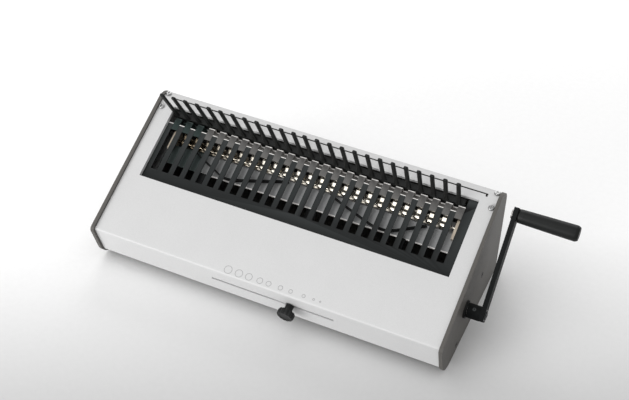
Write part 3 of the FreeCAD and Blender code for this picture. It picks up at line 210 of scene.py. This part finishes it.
class Shader:
    """A node material with a Principled shader and short calls for its usual helpers."""

    def __init__(self, name, roughness=0.5, metallic=0.0, specular=0.5):
        self.material = bpy.data.materials.new(name)
        self.material.use_nodes = True
        self.nodes = self.material.node_tree.nodes
        self.links = self.material.node_tree.links
        self.surface = self.nodes["Principled BSDF"]
        self.surface.inputs["Roughness"].default_value = roughness
        self.surface.inputs["Metallic"].default_value = metallic
        self.surface.inputs["Specular IOR Level"].default_value = specular
        self.place = self.nodes.new("ShaderNodeTexCoord").outputs["Object"]

    def stretched(self, scale):
        """Object coordinates stretched by three factors."""
        mapping = self.nodes.new("ShaderNodeMapping")
        mapping.inputs["Scale"].default_value = scale
        self.links.new(self.place, mapping.inputs["Vector"])
        return mapping.outputs["Vector"]

    def noise(self, scale, detail=3.0, rough=0.5, vector=None):
        node = self.nodes.new("ShaderNodeTexNoise")
        node.inputs["Scale"].default_value = scale
        node.inputs["Detail"].default_value = detail
        node.inputs["Roughness"].default_value = rough
        self.links.new(vector or self.place, node.inputs["Vector"])
        return node.outputs["Fac"]

    def cells(self, scale):
        node = self.nodes.new("ShaderNodeTexVoronoi")
        node.inputs["Scale"].default_value = scale
        self.links.new(self.place, node.inputs["Vector"])
        return node.outputs["Distance"]

    def ramp(self, factor, stops):
        """Colour ramp; stops are (position, colour)."""
        node = self.nodes.new("ShaderNodeValToRGB")
        elements = node.color_ramp.elements
        while len(elements) < len(stops):
            elements.new(0.5)
        for element, (position, colour) in zip(elements, stops):
            element.position = position
            element.color = (*colour, 1)
        self.links.new(factor, node.inputs["Fac"])
        return node.outputs["Color"]

    def spread(self, factor, low, high):
        """Map a 0 to 1 factor to a range."""
        node = self.nodes.new("ShaderNodeMapRange")
        node.inputs["To Min"].default_value = low
        node.inputs["To Max"].default_value = high
        self.links.new(factor, node.inputs["Value"])
        return node.outputs["Result"]

    def blend(self, factor, first, second):
        """Mix two colours; either may be a socket or a plain colour."""
        node = self.nodes.new("ShaderNodeMix")
        node.data_type = "RGBA"
        for socket, value in (("A", first), ("B", second)):
            target = next(i for i in node.inputs if i.name == socket and i.type == "RGBA")
            if isinstance(value, bpy.types.NodeSocket):
                self.links.new(value, target)
            else:
                target.default_value = (*value, 1)
        self.links.new(factor, node.inputs["Factor"])
        return next(o for o in node.outputs if o.type == "RGBA")

    def right_of(self, distance, soft=1.5):
        """0 to the left of a distance in millimetres from the middle, 1 to the right of it."""
        parts = self.nodes.new("ShaderNodeSeparateXYZ")
        self.links.new(self.place, parts.inputs[0])
        step = self.nodes.new("ShaderNodeMapRange")
        step.inputs["From Min"].default_value = MIDDLE_X + (distance - soft) * MM
        step.inputs["From Max"].default_value = MIDDLE_X + (distance + soft) * MM
        self.links.new(parts.outputs["X"], step.inputs["Value"])
        return step.outputs["Result"]

    def between_rows(self, low, high):
        """1 between two distances up the slope, in millimetres from the fold, 0 elsewhere."""
        along = self.nodes.new("ShaderNodeVectorMath")
        along.operation = "DOT_PRODUCT"
        along.inputs[1].default_value = (0, math.cos(SLOPE), math.sin(SLOPE))
        self.links.new(self.place, along.inputs[0])
        fold = FOLD.y * math.cos(SLOPE) + FOLD.z * math.sin(SLOPE)
        soft = 0.15 * MM
        masks = []
        for edge, start, end in ((low, 0, 1), (high, 1, 0)):
            step = self.nodes.new("ShaderNodeMapRange")
            step.inputs["From Min"].default_value = fold + edge * MM - soft
            step.inputs["From Max"].default_value = fold + edge * MM + soft
            step.inputs["To Min"].default_value = start
            step.inputs["To Max"].default_value = end
            self.links.new(along.outputs["Value"], step.inputs["Value"])
            masks.append(step.outputs["Result"])
        both = self.nodes.new("ShaderNodeMath")
        both.operation = "MULTIPLY"
        self.links.new(masks[0], both.inputs[0])
        self.links.new(masks[1], both.inputs[1])
        return both.outputs["Value"]

    def edge_wear(self, amount=0.5):
        """High where the surface is an outer edge."""
        geometry = self.nodes.new("ShaderNodeNewGeometry")
        return self.ramp(
            geometry.outputs["Pointiness"], [(0.52, (0, 0, 0)), (0.60, (amount,) * 3)]
        )

    def colour(self, value):
        self.links.new(value, self.surface.inputs["Base Color"])

    def roughness(self, value):
        self.links.new(value, self.surface.inputs["Roughness"])

    def bump(self, height, strength, distance_mm, previous=None):
        node = self.nodes.new("ShaderNodeBump")
        node.inputs["Strength"].default_value = strength
        node.inputs["Distance"].default_value = distance_mm * MM
        self.links.new(height, node.inputs["Height"])
        if previous is not None:
            self.links.new(previous, node.inputs["Normal"])
        self.links.new(node.outputs["Normal"], self.surface.inputs["Normal"])
        return node.outputs["Normal"]


def tone(value, tint=PLAIN):
    return tuple(value * part for part in tint)


def powder_coat(name, base, tint, roughness, grain=1500, strength=0.22, specular=0.45):
    """Fine-textured paint: small grain, a little mottling, duller in patches."""
    shader = Shader(name, roughness=roughness, specular=specular)
    mottle = shader.noise(28, detail=4)
    fine = shader.noise(grain, detail=2)
    broad = shader.ramp(mottle, [(0.3, tone(base * 0.955, tint)), (0.7, tone(base, tint))])
    speck = shader.ramp(fine, [(0.30, tone(base * 0.86, tint)), (0.62, tone(base * 1.03, tint))])
    mix = shader.nodes.new("ShaderNodeValue")
    mix.outputs[0].default_value = 0.45
    shader.colour(shader.blend(mix.outputs[0], broad, speck))
    shader.roughness(shader.spread(mottle, roughness - 0.05, roughness + 0.07))
    orange_peel = shader.bump(shader.noise(420, detail=2), 0.10, 0.25)
    shader.bump(fine, strength, 0.10, orange_peel)
    return shader.material


def rolled_metal(
    name, base, tint, roughness, along=(1, 14, 14), metallic=1.0, painted_shade_left=None, painted_highlight_row=None
):
    """Sheet or turned steel with fine lines along one direction and a few dull patches.

    The shade argument is the distance from the machine's middle, in millimetres, left of which
    painted shade makes the steel dark and greenish.  The highlight row argument is the pair of
    distances up the slope between which a painted highlight makes it bright.
    """
    shader = Shader(name, roughness=roughness, metallic=metallic, specular=0.5)
    lines = shader.noise(160, detail=5, rough=0.65, vector=shader.stretched(along))
    patches = shader.noise(45, detail=4)
    shade = shader.ramp(lines, [(0.25, tone(base * 0.74, tint)), (0.75, tone(base, tint))])
    dull = tone(base * 0.62, tint)
    mask = shader.ramp(patches, [(0.52, (0, 0, 0)), (0.78, (0.5, 0.5, 0.5))])
    finished = shader.blend(mask, shade, dull)
    # painted highlight: between the two rows the colour turns bright warm and the steel less metallic
    if painted_highlight_row is not None:
        painted_highlight = shader.between_rows(*painted_highlight_row)
        finished = shader.blend(painted_highlight, finished, tone(0.92, WARM))
        shader.links.new(
            shader.spread(painted_highlight, metallic, metallic * 0.3), shader.surface.inputs["Metallic"]
        )
    # painted shade: left of the given distance the steel is coloured dark and greenish
    if painted_shade_left is not None:
        dark = tone(0.045, (0.85, 1.15, 1.1))
        finished = shader.blend(shader.right_of(painted_shade_left), dark, finished)
    shader.colour(finished)
    shader.roughness(shader.spread(lines, roughness - 0.07, roughness + 0.12))
    shader.bump(lines, 0.12, 0.05)
    return shader.material


def polished_nickel(name):
    """Bright plating with soft waviness and faint smears, darkened towards its left end as painted shade."""
    shader = Shader(name, roughness=0.12, metallic=1.0)
    smear = shader.noise(120, detail=4, vector=shader.stretched((1, 3, 3)))
    bright = shader.ramp(smear, [(0.2, (0.72, 0.66, 0.54)), (0.7, (0.97, 0.92, 0.83))])
    # painted shade: the plating's colour darkens towards the left end
    painted_dim = (0.20, 0.16, 0.11)
    painted_dim_middle, painted_dim_fade = -95, 55
    undimmed = shader.right_of(painted_dim_middle, soft=painted_dim_fade)
    shader.colour(shader.blend(undimmed, painted_dim, bright))
    shader.roughness(shader.spread(smear, 0.15, 0.27))
    shader.bump(shader.noise(180, detail=1), 0.03, 0.08)
    return shader.material


def satin_black(name, base, roughness=0.42, specular=0.2, worn=0.10, painted_highlight_row=None):
    """Dark coat on sheet metal: fine grain, worn a little lighter on its edges.

    The highlight row is the pair of distances up the slope where a painted highlight covers the coat.
    """
    tint = (0.92, 1.02, 1.03)
    shader = Shader(name, roughness=roughness, specular=specular)
    rub = shader.noise(60, detail=5, vector=shader.stretched((1, 2.4, 2.4)))
    fine = shader.noise(1700, detail=2)
    body = shader.ramp(rub, [(0.3, tone(base * 0.82, tint)), (0.75, tone(base * 1.35, tint))])
    coat = shader.blend(shader.edge_wear(0.35), body, tone(worn, tint))
    # painted highlight: between the two rows, left of the last bar end, the coat turns bright warm
    if painted_highlight_row is not None:
        painted_highlight = shader.blend(shader.between_rows(*painted_highlight_row), coat, tone(0.92, WARM))
        coat = shader.blend(shader.right_of(LAST_BAR_END), painted_highlight, coat)
    shader.colour(coat)
    shader.roughness(shader.spread(rub, roughness - 0.08, roughness + 0.12))
    shader.bump(fine, 0.16, 0.07)
    return shader.material


def moulded_black(name, base=0.008, roughness=0.40, grain=900, specular=0.2):
    """Moulded plastic: fine spark-eroded grain, slightly greyer on handled patches."""
    shader = Shader(name, roughness=roughness, specular=specular)
    handled = shader.noise(38, detail=4)
    fine = shader.cells(grain)
    tint = (0.95, 1.03, 1.0)
    shader.colour(
        shader.ramp(handled, [(0.3, tone(base, tint)), (0.8, tone(base * 1.7, tint))])
    )
    shader.roughness(shader.spread(handled, roughness - 0.06, roughness + 0.14))
    shader.bump(fine, 0.12, 0.08)
    return shader.material


def rubber(name):
    """Dull black rubber with dust in its pores."""
    shader = Shader(name, roughness=0.85, specular=0.3)
    dust = shader.noise(90, detail=6)
    shader.colour(shader.ramp(dust, [(0.4, tone(0.018)), (0.8, tone(0.055))]))
    shader.bump(shader.noise(700, detail=3), 0.4, 0.2)
    return shader.material


def beige_plastic(name):
    """Acetal slide block, greased and slightly stained by running in its channel."""
    shader = Shader(name, roughness=0.38, specular=0.5)
    stain = shader.noise(70, detail=5, vector=shader.stretched((3, 1, 1)))
    shader.colour(shader.ramp(stain, [(0.35, (0.30, 0.25, 0.19)), (0.7, (0.52, 0.45, 0.36))]))
    shader.roughness(shader.spread(stain, 0.28, 0.5))
    shader.bump(shader.noise(500, detail=2), 0.1, 0.1)
    return shader.material


def printed_grey(name):
    """Grey ink, slightly uneven."""
    shader = Shader(name, roughness=0.5)
    ink = shader.noise(1400, detail=2)
    shader.colour(shader.ramp(ink, [(0.3, tone(0.24)), (0.7, tone(0.32))]))
    return shader.material


finishes = {
    "cover_paint": powder_coat("cover_paint", 0.58, PLAIN, 0.42),
    "cheek_paint": powder_coat(
        "cheek_paint", 0.10, (1.0, 0.95, 0.88), 0.50, grain=1300, strength=0.3, specular=0.2
    ),
    "frame_steel": rolled_metal("frame_steel", 0.50, PLAIN, 0.38),
    "deck_black": satin_black("deck_black", base=0.007, specular=0.12, painted_highlight_row=BAR_END_ROW),
    "tab_steel": rolled_metal(
        "tab_steel",
        0.17,
        WARM,
        0.34,
        along=(14, 1, 14),
        painted_shade_left=PAINTED_SHADE_TABS_END,
        painted_highlight_row=TAB_END_ROW,
    ),
    "comb_black": moulded_black("comb_black"),
    "bright_nickel": polished_nickel("bright_nickel"),
    "carriage_steel": rolled_metal(
        "carriage_steel",
        0.34,
        COOL,
        0.45,
        metallic=0.45,
        painted_shade_left=PAINTED_SHADE_SHEET_END,
        painted_highlight_row=SHEET_FRONT_ROW,
    ),
    "spring_steel": satin_black("spring_steel", base=0.004, roughness=0.5, specular=0.1, worn=0.02),
    "shoe_plastic": beige_plastic("shoe_plastic"),
    "gear_steel": rolled_metal("gear_steel", 0.42, WARM, 0.32, along=(10, 1, 1)),
    "bush_black": moulded_black("bush_black", roughness=0.42),
    "arm_black": satin_black("arm_black", base=0.005, roughness=0.5, specular=0.06, worn=0.02),
    "grip_black": moulded_black("grip_black", base=0.007, roughness=0.42, grain=700, specular=0.2),
    "knob_black": moulded_black("knob_black", base=0.006, roughness=0.36, specular=0.25),
    "screw_steel": rolled_metal("screw_steel", 0.40, PLAIN, 0.16, along=(2, 2, 2)),
    "dark_screw": satin_black("dark_screw", base=0.03, roughness=0.3),
    "foot_rubber": rubber("foot_rubber"),
}
PRINT = printed_grey("printed_grey")

slot_of_node = {row["node"]: row["material_slot"] for row in frame["record"]["subparts"]}


def finish_cad_nodes():
    """Every CAD node gets its slot's material and softened edges."""
    edge_widths = {"cover_paint": 0.28, "cheek_paint": 0.6, "deck_black": 0.22, "arm_black": 0.7}
    for name, node in frame["nodes"].items():
        slot = slot_of_node[name]
        node.data.materials.clear()
        node.data.materials.append(finishes[slot])
        smooth_by_angle(node)
        bevel(node, edge_widths.get(slot, 0.18))


# ---------------------------------------------------------------- pieces that replace CAD nodes


def dressed(piece, *nodes, width=0.0):
    """Give a piece the finish of the nodes it stands for, and softened edges if width is given."""
    piece.data.materials.append(finishes[slot_of_node[nodes[0]]])
    smooth_by_angle(piece)
    if width:
        bevel(piece, width)
    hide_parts(*nodes)


TINE_FRONT = 160.2
TINE_THICK = 3.2
TINE_TOP = 42.8
TINE_HALF = 2.5
TINE_OFFSET = -4.2
TINE_ARCH = 3.3
TALLEST_TINE = 14.45
HALF_OF_TINES = 12
COMB_SHIFT = 1.1
LEFT_TINES = 12
RIGHT_TINES = 13
COMB_BASE = (-20.0, -5.1)
COMB_DEPTH = 7.0


def tine(bm, x, lean, top):
    """A flat tine with a rounded tip; the tip stands lean to the right of the foot."""
    half_thick = TINE_THICK / 2
    shoulder = 2.2
    foot = COMB_BASE[1] - 0.9
    stations = [(foot, 1.10, 1.08), (foot + 1.8, 1.04, 1.02), (4.0, 0.98, 0.98)]
    stations += [(top - 14, 0.94, 0.94), (top - 6, 0.95, 0.95), (top - 3.4, 1.0, 1.0)]
    for step in range(7):
        turn = math.radians(15 * step)
        narrow = max(math.cos(turn), 0.03) ** 0.6
        stations.append((top - shoulder + shoulder * math.sin(turn), narrow, narrow))
    rings = []
    for height, wide, deep in stations:
        aside = lean * (height - foot) / (top - foot)
        centre = Vector((x + aside, TINE_FRONT + TINE_THICK / 2, height))
        rings.append(oval(centre, TINE_HALF * wide, half_thick * deep, 4.0))
    loft(bm, rings)


def box_block(bm, low, high):
    """A block between two corners."""
    plan = ((low[0], low[1]), (high[0], low[1]), (high[0], high[1]), (low[0], high[1]))
    loft(bm, [[Vector((x, y, z)) for x, y in plan] for z in (low[2], high[2])])


def make_rear_comb(side, first, count, shift, start, end, lean):
    """A comb whose tips fan out and lie on a shallow arch, as the CAD node's do."""
    bm = bmesh.new()
    low = (start, TINE_FRONT, COMB_BASE[0])
    high = (end, TINE_FRONT + COMB_DEPTH, COMB_BASE[1])
    box_block(bm, low, high)
    # a stiffening bead along the back of the wall, and a small foot round every tine
    bead = (start + 0.8, TINE_FRONT + COMB_DEPTH - 2.0, COMB_BASE[1])
    box_block(bm, bead, (end - 0.8, TINE_FRONT + COMB_DEPTH, COMB_BASE[1] + 0.0999))
    for index in range(count):
        place = first + index
        foot_x = FIRST_SLOT + TINE_OFFSET + PITCH * place - shift
        aside = lean[0] + (lean[1] - lean[0]) * index / (count - 1)
        top = TINE_TOP - TINE_ARCH * ((place - TALLEST_TINE) / HALF_OF_TINES) ** 2
        tine(bm, foot_x, aside, top)
    piece = new_piece(f"rear_comb_{side}_moulding", bm, "housing", DECK_FRAME)
    dressed(piece, f"rear_comb_{side}", width=0.25)


def make_rear_combs():
    origin = FIRST_SLOT + TINE_OFFSET
    split = origin + PITCH * (LEFT_TINES - 0.5)
    left_end = origin - 3.5
    right_end = left_end + PITCH * 25 - 5
    make_rear_comb("left", 0, LEFT_TINES, 0, left_end, split - 0.1, (-8.0, -1.1))
    make_rear_comb(
        "right", LEFT_TINES, RIGHT_TINES, COMB_SHIFT, split + 0.1, right_end, (-1.1, 2.4)
    )


HOOKS = 23
HOOK_WIDTH = 5.0
HOOK_FRONT = 132.4
HOOK_BACK = 145.8
HOOK_TOP = -12.0
HOOK_BASE = -24.0
HOOK_THICK = 1.2


def make_hooks():
    """One bright stamping: a base strip and a row of rounded hooks."""
    bm = bmesh.new()
    first = FIRST_SLOT + PITCH
    last = first + PITCH * (HOOKS - 1)
    edge = HOOK_WIDTH / 2 + 4
    box_block(
        bm, (first - edge, 134.6, HOOK_BASE), (last + edge, HOOK_BACK, HOOK_BASE + HOOK_THICK)
    )
    # the top is dished between two rounded humps
    bend = 2.6
    path = [(HOOK_BACK, HOOK_BASE + 0.4), (HOOK_BACK, HOOK_TOP - bend)]
    rear_hump = arc((HOOK_BACK - bend, HOOK_TOP - bend), bend, 0, 112, 9)
    front_hump = arc((HOOK_FRONT + bend, HOOK_TOP - bend), bend, 68, 188, 9)
    dip = 0.9
    rear_end = rear_hump[-1]
    front_start = front_hump[0]
    valley = []
    for step in range(1, 6):
        share = step / 6
        along = rear_end[0] + (front_start[0] - rear_end[0]) * share
        out = rear_end[1] + (front_start[1] - rear_end[1]) * share
        valley.append((along, out - dip * math.sin(math.pi * share)))
    path += rear_hump[1:] + valley + front_hump
    for index in range(HOOKS):
        bent_strip(bm, list(reversed(path)), HOOK_WIDTH, HOOK_THICK, first + PITCH * index)
    piece = new_piece("hook_row", bm, "carriage", DECK_FRAME)
    dressed(piece, "hook_strip", width=0.3)


def make_vee_leaf(side, left, apex, right, flat):
    """A leaf spring on edge, bent to a wide V with a soft, flat apex."""
    front, back = 107.0, 127.6
    leaf, height, floor = 1.2, 6.5, -14.0
    softness = 0.004
    path = []
    steps = 48
    for step in range(steps + 1):
        x = left + (right - left) * step / steps
        up_left = (apex - flat - x) / (apex - flat - left)
        up_right = (x - apex - flat) / (right - apex - flat)
        reach = max(up_left, up_right)
        rounded = (reach + math.sqrt(reach * reach + softness)) / 2
        path.append((x, front + (back - leaf - front) * min(rounded, 1)))
    bm = bmesh.new()
    rings = []
    for x, along in path:
        ring = [
            Vector((x, along, floor)),
            Vector((x, along + leaf, floor)),
            Vector((x, along + leaf, floor + height)),
            Vector((x, along, floor + height)),
        ]
        rings.append(ring)
    loft(bm, rings)
    piece = new_piece(f"{side}_vee_leaf", bm, "carriage", DECK_FRAME)
    dressed(piece, f"{side}_vee_spring", width=0.15)


def make_knob():
    """A scalloped knob with a dished face on a narrow hub."""
    place = frame_on(Vector(joints["knob_turn"]["pos_m"]), FACE_OUT)
    rim = 9.5
    scallops = 12
    scallop_depth = 0.085
    hub_end = 8.0

    def ripple(turn, height):
        if height < hub_end:
            return 1.0
        wave = 0.5 + 0.5 * math.cos(turn * scallops)
        return 1.0 - scallop_depth * wave ** 2

    profile = [(1.0, 1.65), (1.0, 4.2), (1.3, 4.5), (7.4, 4.5), (7.9, 4.9)]
    profile += [(8.0, 7.6), (8.1, 8.9), (8.7, 9.4), (9.4, rim), (13.4, rim)]
    profile += [(14.2, 9.25), (14.75, 8.6), (15.0, 7.8), (14.9, 6.9), (14.45, 6.2)]
    profile += [(14.3, 5.2), (14.3, 1.0), (14.3, 0.05)]
    bm = bmesh.new()
    loft(bm, turned(profile, 144, ripple))
    piece = new_piece("size_knob_moulding", bm, "knob", place)
    dressed(piece, "size_knob")


def make_grip():
    """A tapered moulded sleeve with a bevelled outer end and two fine part lines."""
    low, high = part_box("grip")
    length = (high[0] - low[0]) / MM
    inner, outer, bore = 7.5, 8.65, 3.15
    axis = Vector(joints["grip_spin"]["pos_m"])
    place = Matrix.Translation(Vector((low[0], axis.y, axis.z)))
    place = place @ Matrix.Rotation(math.radians(90), 4, "Y") @ Matrix.Scale(MM, 4)
    line_rise = 0.006

    def ripple(turn, height):
        seam = max(0.0, 1 - abs(math.sin(turn)) / 0.035)
        return 1.0 + line_rise * seam if 1 < height < length - 4 else 1.0

    profile = [(0.0, bore), (0.0, 6.5), (0.35, 7.1), (1.1, inner)]
    for step in range(1, 12):
        share = step / 12
        profile.append((1.1 + (length - 5.1) * share, inner + (outer - inner) * share ** 0.85))
    profile += [(length - 4.0, outer), (length - 2.6, 8.5), (length - 0.7, 7.5)]
    profile += [(length - 0.2, 7.2), (length, 6.8), (length, 4.75), (length - 0.3, 4.6)]
    profile += [(length - 5.9, 4.6), (length - 6.0, bore)]
    bm = bmesh.new()
    hoop(bm, turned(profile, 96, ripple))
    piece = new_piece("grip_sleeve", bm, "grip", place)
    dressed(piece, "grip")


def make_size_marks():
    """Ten printed rings, largest at the left, that stand for the comb sizes."""
    radii = (4.6, 4.4, 4.0, 3.45, 3.0, 2.7, 2.3, 2.0, 1.3, 1.0)
    centres = (-39.0, -26.1, -14.3, -1.4, 8.9, 22.8, 34.7, 49.7, 61.2, 68.6)
    line = 0.5
    thin = 0.03
    count = 64
    bm = bmesh.new()
    row = 6.2
    for radius, x in zip(radii, centres):
        hollow = radius - line
        rings = []
        for reach, height in ((radius, 0), (radius, thin), (hollow, thin), (hollow, 0)):
            ring = []
            for index in range(count):
                turn = 2 * math.pi * index / count
                ring.append(
                    Vector((x + reach * math.cos(turn), row + reach * math.sin(turn), height))
                )
            rings.append(ring)
        hoop(bm, rings)
    piece = new_piece("size_marks", bm, "housing", DECK_FRAME)
    piece.data.materials.append(PRINT)


# ---------------------------------------------------------------- stage


def make_floor():
    """A pale seamless sweep, darkened towards the front as painted shade."""
    bm = bmesh.new()
    half = 6.0
    for x, y in ((-half, -half), (half, -half), (half, half), (-half, half)):
        bm.verts.new((x, y, 0))
    bm.faces.new(bm.verts)
    mesh = bpy.data.meshes.new("floor")
    bm.to_mesh(mesh)
    bm.free()
    floor = bpy.data.objects.new("floor", mesh)
    scene.collection.objects.link(floor)
    shader = Shader("floor_paper", roughness=0.9, specular=0.1)
    fibre = shader.noise(160, detail=4)
    paper = shader.ramp(fibre, [(0.2, tone(0.97)), (0.8, tone(1.0))])
    back = Vector((-math.sin(VIEW_AZIMUTH), math.cos(VIEW_AZIMUTH), 0))
    along = shader.nodes.new("ShaderNodeVectorMath")
    along.operation = "DOT_PRODUCT"
    along.inputs[1].default_value = back
    shader.links.new(shader.place, along.inputs[0])
    fade = shader.nodes.new("ShaderNodeMapRange")
    fade.inputs["From Min"].default_value = -0.25
    fade.inputs["From Max"].default_value = 0.08
    shader.links.new(along.outputs["Value"], fade.inputs["Value"])
    # painted shade: the floor's colour darkens towards the front
    shade = shader.ramp(fade.outputs["Result"], [(0.0, tone(0.47)), (1.0, tone(1.0))])
    tinted = shader.nodes.new("ShaderNodeMix")
    tinted.data_type = "RGBA"
    tinted.blend_type = "MULTIPLY"
    tinted.inputs["Factor"].default_value = 1.0
    first, second = [i for i in tinted.inputs if i.type == "RGBA"]
    shader.links.new(shade, first)
    shader.links.new(paper, second)
    shader.colour(next(o for o in tinted.outputs if o.type == "RGBA"))
    shader.bump(fibre, 0.03, 0.2)
    mesh.materials.append(shader.material)


def area_light(name, place, target, size, power):
    """A rectangular lamp at place, turned to target; size in metres, power in watts."""
    data = bpy.data.lights.new(name, "AREA")
    data.shape = "RECTANGLE"
    data.size = size[0]
    data.size_y = size[1]
    data.energy = power
    lamp = bpy.data.objects.new(name, data)
    lamp.location = place
    lamp.rotation_euler = (Vector(target) - Vector(place)).to_track_quat("-Z", "Y").to_euler()
    scene.collection.objects.link(lamp)


def make_lights():
    target = (0, 0, 0.05)
    area_light("key", (-0.7, -0.9, 2.2), target, (2.2, 2.2), 17)
    area_light("rear", (-0.6, 1.9, 1.35), target, (1.8, 1.2), 16)
    area_light("front_fill", (-1.1, -2.2, 0.5), target, (2.0, 0.9), 40)
    area_light("right_fill", (2.1, -0.7, 1.2), target, (1.2, 1.0), 1.5)
    world = bpy.data.worlds.new("studio")
    world.use_nodes = True
    background = world.node_tree.nodes["Background"]
    background.inputs["Color"].default_value = (1, 1, 1, 1)
    background.inputs["Strength"].default_value = 0.64
    scene.world = world


def make_camera():
    """Seen from the front right, looking down at the deck with a long lens."""
    data = bpy.data.cameras.new("camera")
    data.lens = 68.0
    data.sensor_width = 36.0
    data.clip_start = 0.05
    camera = bpy.data.objects.new("camera", data)
    stand = Vector((403.9, -752.2, 919.7)) * MM
    camera.location = FOLD + stand
    level = math.cos(VIEW_ELEVATION)
    forward = Vector(
        (
            -math.sin(VIEW_AZIMUTH) * level,
            math.cos(VIEW_AZIMUTH) * level,
            -math.sin(VIEW_ELEVATION),
        )
    )
    aim = forward.to_track_quat("-Z", "Y")
    camera.rotation_euler = (aim.to_matrix() @ Matrix.Rotation(VIEW_ROLL, 3, "Z")).to_euler()
    scene.collection.objects.link(camera)
    scene.camera = camera


# ---------------------------------------------------------------- scene

finish_cad_nodes()
make_rear_combs()
make_hooks()
make_vee_leaf("left", -139.0, -91.0, -23.0, 5.0)
make_vee_leaf("right", 28.0, 94.5, 140.0, 9.0)
make_knob()
make_grip()
make_size_marks()
make_floor()
make_lights()
make_camera()
scene.view_settings.view_transform = "Standard"
